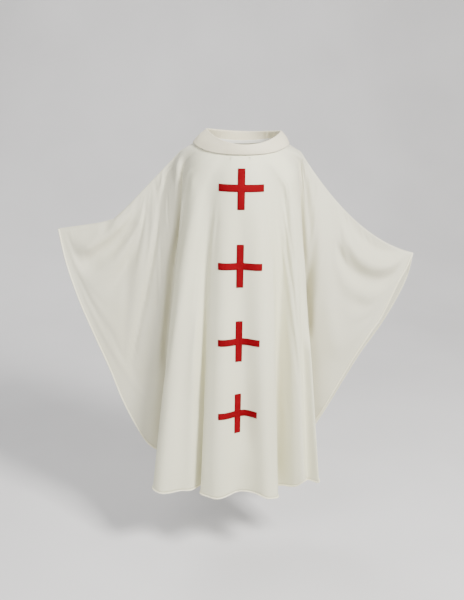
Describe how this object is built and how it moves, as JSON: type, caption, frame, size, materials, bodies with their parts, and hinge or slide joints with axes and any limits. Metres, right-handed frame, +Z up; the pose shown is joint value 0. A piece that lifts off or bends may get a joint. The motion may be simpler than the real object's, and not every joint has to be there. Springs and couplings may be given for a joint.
{
  "type": "chasuble",
  "caption": "Sleeveless outer church vestment with open sides, a folded roll collar and appliqued crosses down the front, hung as worn.",
  "frame": {"origin": "middle of the neck opening, 22 mm below the tops of the shoulder seams beside the neck", "axes": "+Z up out of the neck opening, -Y the way the wearer faces, +X towards the wearer's left hand"},
  "size_m": [1.2378, 0.3725, 1.283],
  "materials": {
    "ivory_cloth": "matt ivory crepe-weave wool and polyester cloth",
    "white_tape": "plain white cotton tape, interlining and thread",
    "cream_cord": "slightly glossy cream corded rolled edge",
    "red_cloth": "matt red applique cloth",
    "red_thread": "dense dark red satin stitch"
  },
  "bodies": {
    "root": {"front_panel": "ivory_cloth", "back_panel": "ivory_cloth", "collar_shell": "ivory_cloth", "collar_interlining": "white_tape", "collar_lining": "ivory_cloth", "neck_seam_tape": "white_tape", "left_shoulder_seam_binding": "white_tape", "right_shoulder_seam_binding": "white_tape", "collar_tack_left": "white_tape", "collar_tack_right": "white_tape", "front_hem_cord": "cream_cord", "back_hem_cord": "cream_cord", "cross_1": "red_cloth", "cross_2": "red_cloth", "cross_3": "red_cloth", "cross_4": "red_cloth", "cross_1_stitching": "red_thread", "cross_2_stitching": "red_thread", "cross_3_stitching": "red_thread", "cross_4_stitching": "red_thread"}
  },
  "joints": []
}
